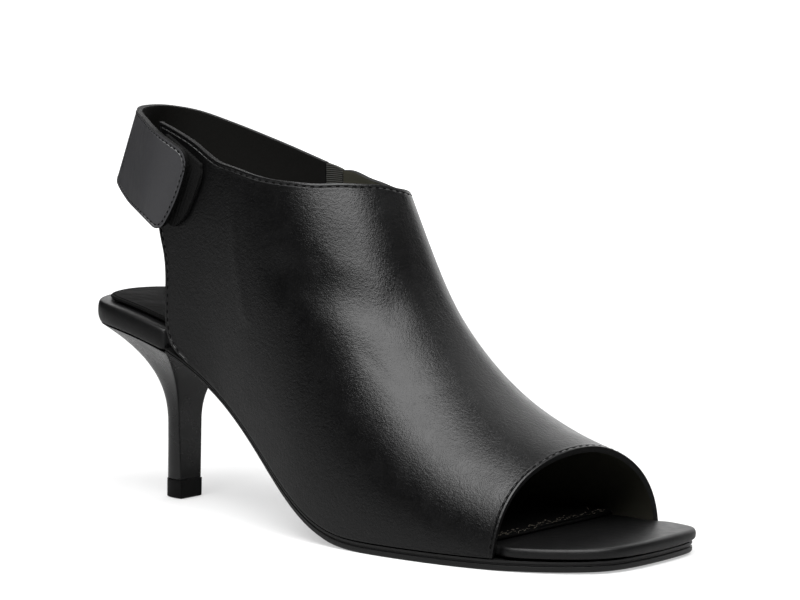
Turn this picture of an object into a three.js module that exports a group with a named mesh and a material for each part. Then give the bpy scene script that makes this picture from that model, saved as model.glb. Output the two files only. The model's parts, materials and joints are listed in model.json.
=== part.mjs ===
// A right high-heeled open-toe slingback sandal in smooth leather, standing on its heel and forefoot.
// Millimetres, +X towards the toe, +Z up, -Y on the outer side of the foot.
import * as THREE from "three";

// Driving sizes of the sole.
const length = 232;
const ballWidth = 79;
const seatWidth = 54;
const waistWidth = 50;
const heelHeight = 63.5;
const toeSpring = 0.9;
const outsoleThickness = 3.4;
const insoleStack = 7.8;
const sockThickness = 1.8;
const sockMargin = 4.6;
const clearance = 0.3;
const curveSlack = 0.15;
const seatStep = 0.4;
const sockFront = 0.835;

// Driving sizes of the heel.
const stemWidth = 10;
const stemDepth = 8.3;
const stemFront = 33.9;
const breastFront = 47.6;
const liftHeight = 6.8;
const liftOverhang = 0.25;
const liftChamfer = 0.4;
const flareStart = 26;
const flarePower = 2.45;
const flareRings = 12;
const stemWaist = 1.18;
const stemFootDepth = 1.2;
const stemCorner = 2 / 2.7;
const seatInset = 1;
const medialSetback = 3;
const arcPoints = 18;
const breastPoints = 3;

// Driving sizes of the upper and its closure.
const instepRise = 108;
const wall = 2;
const strapThickness = 1.8;
const strapRise = 67;
const strapReach = 12;
const hookThickness = 1.2;
const loopThickness = 1.5;
const goreThickness = 1.4;
const tabCorner = 4.5;
const tabBow = 2.2;
const tabBowReach = 24;
const patchBow = 2.6;

const LATERAL = -1;
const MEDIAL = 1;

// The outline of the sole from the seat to the toe. "along" is a share of the length. The two sides
// are shares of half the width named in "of".
const widths = { seat: seatWidth / 2, waist: waistWidth / 2, ball: ballWidth / 2 };
const outlineRows = [
  { along: 0.0, lateral: 0.0, medial: 0.0, of: "seat" },
  { along: 0.01, lateral: 0.43, medial: 0.43, of: "seat" },
  { along: 0.033, lateral: 0.72, medial: 0.71, of: "seat" },
  { along: 0.069, lateral: 0.9, medial: 0.91, of: "seat" },
  { along: 0.13, lateral: 0.99, medial: 0.99, of: "seat" },
  { along: 0.21, lateral: 1.01, medial: 0.95, of: "seat" },
  { along: 0.3, lateral: 1.09, medial: 0.88, of: "waist" },
  { along: 0.39, lateral: 1.25, medial: 0.84, of: "waist" },
  { along: 0.51, lateral: 0.94, medial: 0.59, of: "ball" },
  { along: 0.64, lateral: 1.01, medial: 0.79, of: "ball" },
  { along: 0.75, lateral: 0.985, medial: 0.945, of: "ball" },
  { along: 0.84, lateral: 0.9, medial: 0.965, of: "ball" },
  { along: 0.91, lateral: 0.76, medial: 0.91, of: "ball" },
  { along: 0.956, lateral: 0.595, medial: 0.845, of: "ball" },
  { along: 0.982, lateral: 0.43, medial: 0.775, of: "ball" },
  { along: 0.996, lateral: 0.17, medial: 0.62, of: "ball" },
  { along: 1.0, lateral: -0.23, medial: 0.23, of: "ball" },
];

// The underside: "heel" is a share of the heel height, "spring" of the toe spring, and "edge" is the
// share of the outsole's full thickness.
const undersideRows = [
  { along: 0.0, heel: 1.0, spring: 0, edge: 0.5 },
  { along: 0.11, heel: 0.962, spring: 0, edge: 0.5 },
  { along: 0.215, heel: 0.858, spring: 0, edge: 0.5 },
  { along: 0.302, heel: 0.685, spring: 0, edge: 0.5 },
  { along: 0.38, heel: 0.488, spring: 0, edge: 0.52 },
  { along: 0.448, heel: 0.272, spring: 0, edge: 0.62 },
  { along: 0.51, heel: 0.1, spring: 0, edge: 0.85 },
  { along: 0.56, heel: 0.022, spring: 0, edge: 1 },
  { along: 0.61, heel: 0, spring: 0, edge: 1 },
  { along: 0.65, heel: 0, spring: 0, edge: 1 },
  { along: 0.74, heel: 0, spring: 0, edge: 1 },
  { along: 0.78, heel: 0, spring: 0, edge: 1 },
  { along: 0.86, heel: 0, spring: 0.2, edge: 1 },
  { along: 0.93, heel: 0, spring: 0.55, edge: 1 },
  { along: 1.0, heel: 0, spring: 1, edge: 1 },
];

// The edges of the sole's layers: "up" is a share of the layer's thickness. The outsole's has a groove
// under a thin lip, and its toe is set back a little.
const outsoleEdge = [
  { up: 0, inset: 0.6 },
  { up: 0.14, inset: 0.15 },
  { up: 0.52, inset: 0.1 },
  { up: 0.6, inset: 0.7 },
  { up: 0.7, inset: 0.7 },
  { up: 0.78, inset: 0.1 },
  { up: 1, inset: 0.1 },
];
const toeSetback = { from: 0.84, to: 0.97, inset: 1.1 };
const footbedEdge = [
  { up: 0, inset: 0.9 },
  { up: 0.2, inset: 0.15 },
  { up: 0.5, inset: 0 },
  { up: 0.78, inset: 0.2 },
  { up: 0.93, inset: 0.7 },
  { up: 1, inset: 1.6 },
];
const sockEdge = [
  { up: 0, inset: 0.3 },
  { up: 0.5, inset: 0 },
  { up: 0.85, inset: 0.7 },
  { up: 1, inset: 2.4 },
];

// The last in cross-section, from the back of the quarters to the toe opening. "rise" is the height
// of its ridge over the outsole as a share of the instep rise. "ridge" is the ridge's place across
// as a share of half the ball width. The rest give how full and how swollen each side is.
const lastRows = [
  { along: 0.15, rise: 1.13, ridge: 0.04, outerFull: 3.4, innerFull: 3.2, outerSwell: 2, innerSwell: 2 },
  { along: 0.24, rise: 1.16, ridge: 0.05, outerFull: 3.4, innerFull: 3.2, outerSwell: 2.6, innerSwell: 4 },
  { along: 0.31, rise: 1.22, ridge: 0.06, outerFull: 3.2, innerFull: 3, outerSwell: 3, innerSwell: 6 },
  { along: 0.37, rise: 1.3, ridge: 0.07, outerFull: 2.9, innerFull: 2.7, outerSwell: 2.4, innerSwell: 6.2 },
  { along: 0.43, rise: 1.34, ridge: 0.08, outerFull: 2.35, innerFull: 2.25, outerSwell: 1.6, innerSwell: 4.6 },
  { along: 0.495, rise: 1.22, ridge: 0.08, outerFull: 2.05, innerFull: 1.9, outerSwell: 1.2, innerSwell: 2.4 },
  { along: 0.56, rise: 0.965, ridge: 0.09, outerFull: 2, innerFull: 1.8, outerSwell: 1, innerSwell: 1 },
  { along: 0.61, rise: 0.735, ridge: 0.11, outerFull: 2.05, innerFull: 1.8, outerSwell: 1, innerSwell: 0.6 },
  { along: 0.66, rise: 0.58, ridge: 0.13, outerFull: 2.1, innerFull: 1.82, outerSwell: 1, innerSwell: 0.4 },
  { along: 0.73, rise: 0.438, ridge: 0.13, outerFull: 2.1, innerFull: 1.85, outerSwell: 1, innerSwell: 0.4 },
  { along: 0.81, rise: 0.344, ridge: 0.12, outerFull: 2, innerFull: 1.88, outerSwell: 0.6, innerSwell: 0.3 },
  { along: 0.89, rise: 0.29, ridge: 0.1, outerFull: 1.95, innerFull: 1.88, outerSwell: 0, innerSwell: 0 },
  { along: 0.96, rise: 0.26, ridge: 0.1, outerFull: 1.95, innerFull: 1.88, outerSwell: 0, innerSwell: 0 },
];

// The collar, from the end of the outer wing round the throat to the elastic. "around" is in degrees
// from the ridge, with the outer side negative.
const collarRows = [
  { rib: 0, along: 0.2, around: -56.5 },
  { rib: 5, along: 0.265, around: -56.9 },
  { rib: 10, along: 0.333, around: -57.5 },
  { rib: 15, along: 0.415, around: -53.8 },
  { rib: 20, along: 0.486, around: -41 },
  { rib: 24, along: 0.5267, around: -25 },
  { rib: 28, along: 0.5464, around: -9 },
  { rib: 31, along: 0.5523, around: 3.5 },
  { rib: 35, along: 0.538, around: 20.5 },
  { rib: 40, along: 0.49, around: 40.8 },
  { rib: 45, along: 0.43, around: 52.8 },
  { rib: 50, along: 0.368, around: 57.4 },
];
const ribCount = 50;
const ribSteps = 16;
const toeRibs = { first: 18, last: 38 };

// The edge of the toe opening.
const openingRows = [
  { around: -90, along: 0.845 },
  { around: -45, along: 0.857 },
  { around: 0, along: 0.886 },
  { around: 45, along: 0.903 },
  { around: 90, along: 0.903 },
];

// The rear edges of the quarters, from the collar down to the sole.
const lateralRearRows = [
  { step: 0, along: 0.2, around: -56.5 },
  { step: 0.16, along: 0.198, around: -62.5 },
  { step: 0.32, along: 0.197, around: -69 },
  { step: 0.42, along: 0.202, around: -72.5 },
  { step: 0.52, along: 0.211, around: -75.5 },
  { step: 0.62, along: 0.2122, around: -79 },
  { step: 0.73, along: 0.2092, around: -83 },
  { step: 0.85, along: 0.2095, around: -87 },
  { step: 0.93, along: 0.2175, around: -89 },
  { step: 1, along: 0.234, around: -90 },
];
const medialRearRows = [
  { step: 0, along: 0.368, around: 57.4 },
  { step: 0.3, along: 0.366, around: 67 },
  { step: 0.44, along: 0.345, around: 71.5 },
  { step: 0.6, along: 0.3, around: 76.5 },
  { step: 0.78, along: 0.254, around: 83 },
  { step: 0.9, along: 0.238, around: 87.5 },
  { step: 1, along: 0.24, around: 90 },
];
const rearFade = 9;

// The strap over the outer quarter, from the front edge of its tab backwards.
const tabRows = [
  { lowAlong: 0.229, lowAround: -71.6, highAlong: 0.29, highAround: -58.2 },
  { lowAlong: 0.184, lowAround: -70, highAlong: 0.222, highAround: -57.6 },
];
// The free strap round the heel: "along" is a share of the strap's reach behind the quarters,
// "across" of half the seat width and "up" of the strap's rise over the seat.
const loopRows = [
  { lowAlong: 2.3, lowAcross: -0.93, lowUp: 0.54, highAlong: 3.05, highAcross: -0.93, highUp: 0.955 },
  { lowAlong: 1.22, lowAcross: -0.6, lowUp: 0.62, highAlong: 1.98, highAcross: -0.56, highUp: 0.99 },
  { lowAlong: 0.72, lowAcross: -0.12, lowUp: 0.635, highAlong: 1.3, highAcross: -0.1, highUp: 1.0 },
  { lowAlong: 0.72, lowAcross: 0.36, lowUp: 0.62, highAlong: 1.22, highAcross: 0.34, highUp: 0.995 },
  { lowAlong: 1.3, lowAcross: 0.74, lowUp: 0.575, highAlong: 1.72, highAcross: 0.7, highUp: 0.965 },
  { lowAlong: 2.5, lowAcross: 0.92, lowUp: 0.51, highAlong: 2.8, highAcross: 0.9, highUp: 0.9 },
];
// The strap along the inner side, from the back to the elastic.
const innerRows = [
  { lowAlong: 0.227, lowAround: 71, highAlong: 0.235, highAround: 59.2 },
  { lowAlong: 0.33, lowAround: 69, highAlong: 0.33, highAround: 58.1 },
];
const strapStations = 56;
const strapLevels = 6;
const cornerShares = [0, 0.06, 0.25, 0.6, 1];

// The closure: the loop patch lies on the wing of the quarter and the hook patch under the tab. Corners
// are places along the length and angles round the last.
const loopCorners = {
  startLow: [0.212, -70],
  startHigh: [0.222, -57.6],
  endLow: [0.25, -70],
  endHigh: [0.302, -59.1],
};
const loopOffsets = { outer: clearance + loopThickness, inner: clearance };
const hookRange = { from: 0.02, to: 0.13 };
const hookMargin = 0.1;
const hookDepths = { outer: strapThickness + clearance, inner: strapThickness + clearance + hookThickness };

// The elastic between the strap's inner end and the upper, in the middle of the wall.
const goreEnds = { rear: 0.3313, front: 0.3649 };
const goreMiddle = (wall - goreThickness) / 2;
const goreOffsets = { outer: -goreMiddle, inner: goreMiddle - wall };
const goreCorners = {
  startLow: [goreEnds.front, 66.8],
  startHigh: [goreEnds.front, 57.5],
  endLow: [goreEnds.rear, 69],
  endHigh: [goreEnds.rear, 58.1],
};

// Places along the length at which the upper covers the side of the footbed.
const coveredFrom = 0.207;
const coveredRamp = 0.009;

// A smooth function of the place along the shoe through one column of a table.
function profile(rows, column, scale, key = "along", keyScale = length) {
  const places = rows.map((row) => row[key] * keyScale);
  const values = rows.map((row) => row[column] * scale);
  const spline = new THREE.CubicInterpolant(places, values, 1);
  return (at) => spline.evaluate(at)[0];
}

const heelLine = profile(undersideRows, "heel", heelHeight);
const springLine = profile(undersideRows, "spring", toeSpring);
const edgeShare = profile(undersideRows, "edge", 1);

function underside(x) {
  return Math.max(0, heelLine(x)) + Math.max(0, springLine(x));
}

// The height of a layer measured square to the sloping underside.
function overSole(x, thickness) {
  const slope = (underside(x + 1) - underside(x - 1)) / 2;
  return underside(x) + thickness * Math.hypot(1, slope);
}

const outsoleTop = (x) => overSole(x, outsoleThickness * edgeShare(x));
const footbedTop = (x) => overSole(x, insoleStack);
const upperBase = (x) => outsoleTop(x) + clearance + curveSlack;

// The outline as a closed curve that runs along the outer side and back along the inner side.
const outlinePoint = (row, side) => {
  const across = side === LATERAL ? -row.lateral : row.medial;
  return new THREE.Vector3(row.along * length, across * widths[row.of], 0);
};
const toeRow = outlineRows.length - 1;
const toeTip = outlinePoint(outlineRows[toeRow], MEDIAL);
const outline = new THREE.CatmullRomCurve3(
  [
    ...outlineRows.slice(0, toeRow).map((row) => outlinePoint(row, LATERAL)),
    toeTip,
    ...outlineRows.slice(1, toeRow).reverse().map((row) => outlinePoint(row, MEDIAL)),
  ],
  true,
  "catmullrom",
  0.5,
);

// The curve's parameter at a place along one side.
function outlineAt(x, side) {
  let rear = side === LATERAL ? 0 : 1;
  let front = 0.5;
  for (let i = 0; i < 40; i++) {
    const middle = (rear + front) / 2;
    if (outline.getPoint(middle).x < x) rear = middle;
    else front = middle;
  }
  return (rear + front) / 2;
}

// A point of the outline moved in by an inset, square to the curve.
function insetPoint(t, inset) {
  const wrapped = ((t % 1) + 1) % 1;
  const point = outline.getPoint(wrapped);
  const tangent = outline.getTangent(wrapped);
  return new THREE.Vector3(point.x - tangent.y * inset, point.y + tangent.x * inset, 0);
}

function soleEdge(x, side) {
  return outline.getPoint(outlineAt(x, side)).y;
}

// Builds an indexed geometry from rings of points joined in order, closed by the given end caps.
class Skin {
  constructor() {
    this.positions = [];
    this.faces = [];
  }

  add(points) {
    const first = this.positions.length / 3;
    points.forEach((p) => this.positions.push(p.x, p.y, p.z));
    return points.map((_, i) => first + i);
  }

  quad(a, b, c, d) {
    this.faces.push(a, b, c, a, c, d);
  }

  // The wall between two rings of the same count, seen from outside with the second ring above.
  band(low, high) {
    low.forEach((vertex, i) => {
      const next = (i + 1) % low.length;
      this.quad(vertex, low[next], high[next], high[i]);
    });
  }

  // A cap whose cross lines join the two sides of a ring. A ring that starts on a straight cut
  // pairs its first point with its last, and a whole ring is folded at its first point.
  foldedCap(ring, up, cut) {
    const count = ring.length - (cut ? 1 : 0);
    const face = (a, b, c) => this.faces.push(...(up ? [a, b, c] : [a, c, b]));
    for (let i = 0; i < Math.floor(count / 2); i++) {
      const left = ring[i];
      const leftNext = ring[i + 1];
      const right = ring[(count - i) % ring.length];
      const rightNext = ring[count - i - 1];
      if (left !== right) face(left, leftNext, right);
      if (leftNext !== rightNext) face(leftNext, rightNext, right);
    }
  }

  geometry() {
    const made = new THREE.BufferGeometry();
    made.setAttribute("position", new THREE.Float32BufferAttribute(this.positions, 3));
    made.setIndex(this.faces);
    made.computeVertexNormals();
    return made;
  }
}

// A slab on the sole: one ring for each layer, with its own inset and height.
function slab(parameters, layers, cut = false) {
  const skin = new Skin();
  const rings = layers.map((layer) =>
    skin.add(
      parameters.map((t) => {
        const point = insetPoint(t, layer.inset(t));
        point.z = layer.height(point.x);
        return point;
      }),
    ),
  );
  rings.slice(1).forEach((ring, i) => skin.band(rings[i], ring));
  skin.foldedCap(rings[rings.length - 1], true, cut);
  skin.foldedCap(rings[0], false, cut);
  return skin.geometry();
}

// Marks along each side that the layers of the sole share, and the steps from each mark to the next.
const openingLine = profile(openingRows, "along", length, "around", 1);
const marks = ["wrapRear", "stepRear", "stepFront", "outsoleRear", "wrapFull", "sockEnd", "wrapEnd", "bare"];
const markSteps = [8, 1, 1, 1, 1, 19, 2, 1, 8];
function markPlaces(side) {
  const wrapEnd = openingLine(side * 90) + wall;
  return {
    wrapRear: (coveredFrom - coveredRamp) * length,
    stepRear: breastFront - 2 * seatStep,
    stepFront: breastFront - seatStep,
    outsoleRear: breastFront + clearance,
    wrapFull: coveredFrom * length,
    sockEnd: sockFront * length,
    wrapEnd,
    bare: wrapEnd + coveredRamp * length,
  };
}

// Parameters of one side from the seat to the toe, with those of both sides matching in number.
function sideParameters(side) {
  const places = markPlaces(side);
  const ends = [side === LATERAL ? 0 : 1, ...marks.map((mark) => outlineAt(places[mark], side)), 0.5];
  return markSteps.flatMap((steps, i) =>
    Array.from({ length: steps }, (_, j) => THREE.MathUtils.lerp(ends[i], ends[i + 1], j / steps)),
  );
}
const lateralParameters = sideParameters(LATERAL);
const medialParameters = sideParameters(MEDIAL);
const stepsTo = (mark) => markSteps.slice(0, marks.indexOf(mark) + 1).reduce((sum, n) => sum + n, 0);
const inFrontOf = (mark) => [
  ...lateralParameters.slice(stepsTo(mark)),
  0.5,
  ...medialParameters.slice(stepsTo(mark)).reverse(),
];
const behind = (mark) => [
  ...medialParameters.slice(1, stepsTo(mark) + 1).reverse(),
  ...lateralParameters.slice(0, stepsTo(mark) + 1).map((t) => t + 1),
];
const wholeOutline = [...lateralParameters, 0.5, ...medialParameters.slice(1).reverse()];

// How far the footbed's side stands in from the outline where the upper wraps it.
function coveredInset(t) {
  const side = t < 0.5 ? LATERAL : MEDIAL;
  const x = outline.getPoint(t).x;
  const { wrapRear, wrapFull, wrapEnd, bare } = markPlaces(side);
  const rear = THREE.MathUtils.smoothstep(x, wrapRear, wrapFull);
  const toe = 1 - THREE.MathUtils.smoothstep(x, wrapEnd, bare);
  return (wall + 2 * clearance) * rear * toe;
}

// The solid between two faces that run over the same grid of points, with its four edges closed.
function shell(outer, inner) {
  const skin = new Skin();
  const out = outer.map((row) => skin.add(row));
  const inn = inner.map((row) => skin.add(row));
  const rows = out.length;
  const columns = out[0].length;
  for (let i = 0; i < rows - 1; i++) {
    for (let j = 0; j < columns - 1; j++) {
      skin.quad(out[i][j], out[i][j + 1], out[i + 1][j + 1], out[i + 1][j]);
      skin.quad(inn[i][j], inn[i + 1][j], inn[i + 1][j + 1], inn[i][j + 1]);
    }
    skin.quad(out[i + 1][0], inn[i + 1][0], inn[i][0], out[i][0]);
    skin.quad(out[i][columns - 1], inn[i][columns - 1], inn[i + 1][columns - 1], out[i + 1][columns - 1]);
  }
  for (let j = 0; j < columns - 1; j++) {
    skin.quad(out[0][j], inn[0][j], inn[0][j + 1], out[0][j + 1]);
    skin.quad(out[rows - 1][j + 1], inn[rows - 1][j + 1], inn[rows - 1][j], out[rows - 1][j]);
  }
  return skin.geometry();
}

// The last's outer surface at a place along the shoe and an angle round from its ridge.
const ridgeRise = profile(lastRows, "rise", instepRise);
const ridgeAcross = profile(lastRows, "ridge", ballWidth / 2);
const fullness = {
  [LATERAL]: profile(lastRows, "outerFull", 1),
  [MEDIAL]: profile(lastRows, "innerFull", 1),
};
const swell = {
  [LATERAL]: profile(lastRows, "outerSwell", 1),
  [MEDIAL]: profile(lastRows, "innerSwell", 1),
};

function lastPoint(x, around) {
  const side = around < 0 ? LATERAL : MEDIAL;
  const angle = THREE.MathUtils.degToRad(90 - Math.min(90, Math.abs(around)));
  const power = fullness[side](x);
  const radius = (Math.cos(angle) ** power + Math.sin(angle) ** power) ** (-1 / power);
  const ridge = ridgeAcross(x);
  const reach = (soleEdge(x, side) - ridge) * radius * Math.cos(angle);
  const bulge = side * swell[side](x) * Math.sin(2 * angle);
  const up = ridgeRise(x) * radius * Math.sin(angle);
  return new THREE.Vector3(x, ridge + reach + bulge, upperBase(x) + up);
}

// The outward direction square to the last.
function lastNormal(x, around) {
  const step = 0.4;
  const limited = THREE.MathUtils.clamp(around, -90 + step, 90 - step);
  const alongX = lastPoint(x + step, limited).sub(lastPoint(x - step, limited));
  const aroundIt = lastPoint(x, limited + step).sub(lastPoint(x, limited - step));
  return alongX.cross(aroundIt).normalize();
}

function onLast(x, around, offset) {
  const point = lastPoint(x, around).addScaledVector(lastNormal(x, around), offset);
  point.z = Math.max(point.z, upperBase(point.x));
  return point;
}

// The grid of the upper: each rib runs from the collar to the sole or the toe opening.
const collarAlong = profile(collarRows, "along", length, "rib", 1);
const collarAround = profile(collarRows, "around", 1, "rib", 1);
const rearEdges = {
  [LATERAL]: {
    along: profile(lateralRearRows, "along", length, "step", 1),
    around: profile(lateralRearRows, "around", 1, "step", 1),
  },
  [MEDIAL]: {
    along: profile(medialRearRows, "along", length, "step", 1),
    around: profile(medialRearRows, "around", 1, "step", 1),
  },
};

// Where a rib ends on the sole line or on the toe opening.
function ribFoot(rib) {
  const { first, last } = toeRibs;
  if (rib <= first) {
    const from = rearEdges[LATERAL].along(1);
    return { x: THREE.MathUtils.lerp(from, openingLine(-90), rib / first), around: -90 };
  }
  if (rib >= last) {
    const to = rearEdges[MEDIAL].along(1);
    return { x: THREE.MathUtils.lerp(openingLine(90), to, (rib - last) / (ribCount - last)), around: 90 };
  }
  const around = THREE.MathUtils.mapLinear(rib, first, last, -90, 90);
  return { x: openingLine(around), around };
}

function straightRib(rib, share) {
  const foot = ribFoot(rib);
  return {
    x: THREE.MathUtils.lerp(collarAlong(rib), foot.x, share),
    around: THREE.MathUtils.lerp(collarAround(rib), foot.around, share),
  };
}

function ribPoint(rib, share) {
  const place = straightRib(rib, share);
  const side = rib < ribCount / 2 ? LATERAL : MEDIAL;
  const end = side === LATERAL ? 0 : ribCount;
  const fade = 1 - THREE.MathUtils.smootherstep(Math.abs(rib - end), 0, rearFade);
  const straightEnd = straightRib(end, share);
  place.x += fade * (rearEdges[side].along(share) - straightEnd.x);
  place.around += fade * (rearEdges[side].around(share) - straightEnd.around);
  return place;
}

function upperGeometry() {
  const face = (offset) =>
    Array.from({ length: ribCount + 1 }, (_, rib) =>
      Array.from({ length: ribSteps + 1 }, (_, step) => {
        const place = ribPoint(rib, step / ribSteps);
        return onLast(place.x, place.around, offset);
      }),
    );
  return shell(face(0), face(-wall));
}

// A patch of the last's surface between two offsets, given by four corners in place and angle. The end
// corners are drawn back by the bow, which leaves the edge between them curved.
function patchGeometry(corners, offsets, alongSteps, aroundSteps, bow = 0) {
  const { startLow, startHigh, endLow, endHigh } = corners;
  const mix = (a, b, s) => a.map((value, i) => THREE.MathUtils.lerp(value, b[i], s));
  const face = (offset) =>
    Array.from({ length: alongSteps + 1 }, (_, i) =>
      Array.from({ length: aroundSteps + 1 }, (_, j) => {
        const high = mix(startHigh, endHigh, i / alongSteps);
        const low = mix(startLow, endLow, i / alongSteps);
        const [along, around] = mix(high, low, j / aroundSteps);
        const drawn = (bow * i * (2 * (j / aroundSteps) - 1) ** 4) / alongSteps;
        return onLast(along * length - drawn, around, offset);
      }),
    );
  return shell(face(offsets.outer), face(offsets.inner));
}

// The strap as a ribbon: curves at several heights run from the tab round the heel to the elastic.
const tabOffset = strapThickness + hookThickness + loopThickness + 3 * clearance;
const seatLevel = footbedTop(0);
function strapCurve(level) {
  const mix = (row, name) => THREE.MathUtils.lerp(row[`low${name}`], row[`high${name}`], level);
  const outside = tabRows.map((row) => onLast(mix(row, "Along") * length, mix(row, "Around"), tabOffset));
  const round = loopRows.map(
    (row) =>
      new THREE.Vector3(
        mix(row, "Along") * strapReach,
        (mix(row, "Across") * seatWidth) / 2,
        seatLevel + mix(row, "Up") * strapRise,
      ),
  );
  const inside = innerRows.map((row) => onLast(mix(row, "Along") * length, mix(row, "Around"), 0));
  return new THREE.CatmullRomCurve3([...outside, ...round, ...inside], false, "centripetal");
}
const lowCurve = strapCurve(0);
const middleCurve = strapCurve(0.5);
const highCurve = strapCurve(1);

// A point of the strap at a share of its length, a share of its height and a depth under its face.
function strapPoint(share, level, depth) {
  const low = lowCurve.getPoint(share);
  const middle = middleCurve.getPoint(share);
  const high = highCurve.getPoint(share);
  const bow = middle.sub(low.clone().lerp(high, 0.5));
  const point = low.clone().lerp(high, level).addScaledVector(bow, 4 * level * (1 - level));
  const tangent = middleCurve.getTangent(share);
  const inward = tangent.cross(high.sub(low)).normalize();
  return point.addScaledVector(inward, depth);
}

// How much of the strap's height is left at a share of its length, with round corners at the tab.
const strapLength = middleCurve.getLength();
function heightLeft(share) {
  const from = share * strapLength;
  if (from >= tabCorner) return 1;
  const height = lowCurve.getPoint(share).distanceTo(highCurve.getPoint(share));
  const cut = tabCorner - Math.sqrt(tabCorner ** 2 - (tabCorner - from) ** 2);
  return 1 - (2 * cut) / height;
}

// The share of the strap's length at which a point lies, with the tab's corners drawn back so that its
// front edge is curved.
function bowed(share, level) {
  const fade = Math.max(0, 1 - (share * strapLength) / tabBowReach);
  return share + (tabBow / strapLength) * (2 * level - 1) ** 2 * fade;
}

// A ribbon of the strap between two shares of its length, with margins and a range of depths.
function ribbonGeometry(range, margin, depths) {
  const corner = cornerShares.map((part) => (part * tabCorner) / strapLength);
  const places = Array.from({ length: strapStations + 1 }, (_, i) => i / strapStations)
    .filter((share) => share > tabCorner / strapLength)
    .concat(corner)
    .sort((a, b) => a - b)
    .filter((share) => share >= range.from && share <= range.to);
  if (range.from > 0) places.unshift(range.from);
  if (range.to < 1) places.push(range.to);
  const face = (depth) =>
    places.map((share) =>
      Array.from({ length: strapLevels + 1 }, (_, j) => {
        const kept = heightLeft(share) * (1 - 2 * margin);
        const level = 0.5 + (j / strapLevels - 0.5) * kept;
        return strapPoint(bowed(share, level), level, depth);
      }),
    );
  return shell(face(depths.outer), face(depths.inner));
}

// The heel: rings from the slim stem flaring out to the seat, with a flat breast. A level ring of the
// stem runs from the inner breast corner round the back to the outer one.
function stemArc(height, grow) {
  const rise = Math.min(1, height / flareStart);
  const half = (stemWidth / 2) * THREE.MathUtils.lerp(1, stemWaist, rise) + grow;
  const depth = stemFootDepth + stemDepth - stemFootDepth * rise + 2 * grow;
  return Array.from({ length: arcPoints + 1 }, (_, i) => {
    const angle = Math.PI * (0.5 - i / arcPoints);
    const back = depth * Math.max(0, Math.cos(angle)) ** stemCorner;
    const across = half * Math.sign(Math.sin(angle)) * Math.abs(Math.sin(angle)) ** stemCorner;
    return new THREE.Vector3(stemFront + grow - back, across, height);
  });
}

// The ring under the seat, over the same arc.
function seatArc() {
  const lateral = outlineAt(breastFront, LATERAL);
  const medial = outlineAt(breastFront - medialSetback, MEDIAL) - 1;
  return Array.from({ length: arcPoints + 1 }, (_, i) => {
    const point = insetPoint(THREE.MathUtils.lerp(medial, lateral, i / arcPoints), seatInset);
    point.z = underside(point.x) - clearance;
    return point;
  });
}

// Closes an arc into a ring with points across the breast.
function withBreast(arc) {
  const first = arc[0];
  const last = arc[arc.length - 1];
  const across = Array.from({ length: breastPoints }, (_, i) =>
    last.clone().lerp(first, (i + 1) / (breastPoints + 1)),
  );
  return arc.concat(across);
}

// A closed solid over rings listed from the floor up, capped by fans.
function stacked(rings) {
  const skin = new Skin();
  const added = rings.map((ring) => skin.add(ring));
  added.slice(1).forEach((ring, i) => skin.band(added[i], ring));
  const fan = (ring, points, up) => {
    const centre = points.reduce((sum, p) => sum.add(p), new THREE.Vector3()).divideScalar(points.length);
    const [middle] = skin.add([centre]);
    ring.forEach((vertex, i) => {
      const next = ring[(i + 1) % ring.length];
      skin.faces.push(...(up ? [vertex, next, middle] : [next, vertex, middle]));
    });
  };
  fan(added[0], rings[0], false);
  fan(added[added.length - 1], rings[rings.length - 1], true);
  return skin.geometry();
}

function heelGeometry() {
  const foot = liftHeight + clearance;
  const seat = seatArc();
  const rings = [stemArc(foot, 0), stemArc(flareStart, 0)];
  for (let i = 1; i <= flareRings; i++) {
    const height = i / flareRings;
    const flare = height ** flarePower;
    rings.push(
      stemArc(flareStart, 0).map((stem, j) => {
        const point = stem.clone().lerp(seat[j], flare);
        point.z = THREE.MathUtils.lerp(flareStart, seat[j].z, height);
        return point;
      }),
    );
  }
  return stacked(rings.map(withBreast));
}

function topLiftGeometry() {
  const rings = [
    stemArc(0, -liftChamfer),
    stemArc(liftChamfer, liftOverhang),
    stemArc(liftHeight, liftOverhang),
  ];
  return stacked(rings.map(withBreast));
}

// The outsole, from the heel's breast to the toe.
function outsoleGeometry() {
  const setback = (t) => {
    const share = outline.getPoint(t).x / length;
    return toeSetback.inset * THREE.MathUtils.smoothstep(share, toeSetback.from, toeSetback.to);
  };
  const layers = outsoleEdge.map(({ up, inset }) => ({
    inset: (t) => inset + setback(t),
    height: (x) => overSole(x, up * outsoleThickness * edgeShare(x)),
  }));
  return slab(inFrontOf("outsoleRear"), layers, true);
}

// The footbed: a board wrapped in leather, thick at the seat and resting on the outsole beyond it.
function footbedBase(x) {
  const onOutsole = THREE.MathUtils.smoothstep(x, breastFront - 2 * seatStep, breastFront - seatStep);
  return THREE.MathUtils.lerp(underside(x), outsoleTop(x) + clearance, onOutsole);
}
function footbedGeometry() {
  const layers = footbedEdge.map(({ up, inset }) => ({
    inset: (t) => inset + coveredInset(t),
    height: (x) => THREE.MathUtils.lerp(footbedBase(x), footbedTop(x), up),
  }));
  return slab(wholeOutline, layers);
}

// The padded sock on the footbed, with a rounded edge and a straight front under the vamp.
function sockGeometry() {
  const layers = sockEdge.map(({ up, inset }) => ({
    inset: () => inset + sockMargin,
    height: (x) => footbedTop(x) + clearance + up * sockThickness,
  }));
  return slab(behind("sockEnd"), layers, true);
}

function material(color, roughness) {
  return new THREE.MeshStandardMaterial({ color, roughness, metalness: 0 });
}

function mesh(name, geometry, finish) {
  const made = new THREE.Mesh(geometry, finish);
  made.name = name;
  return made;
}

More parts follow.
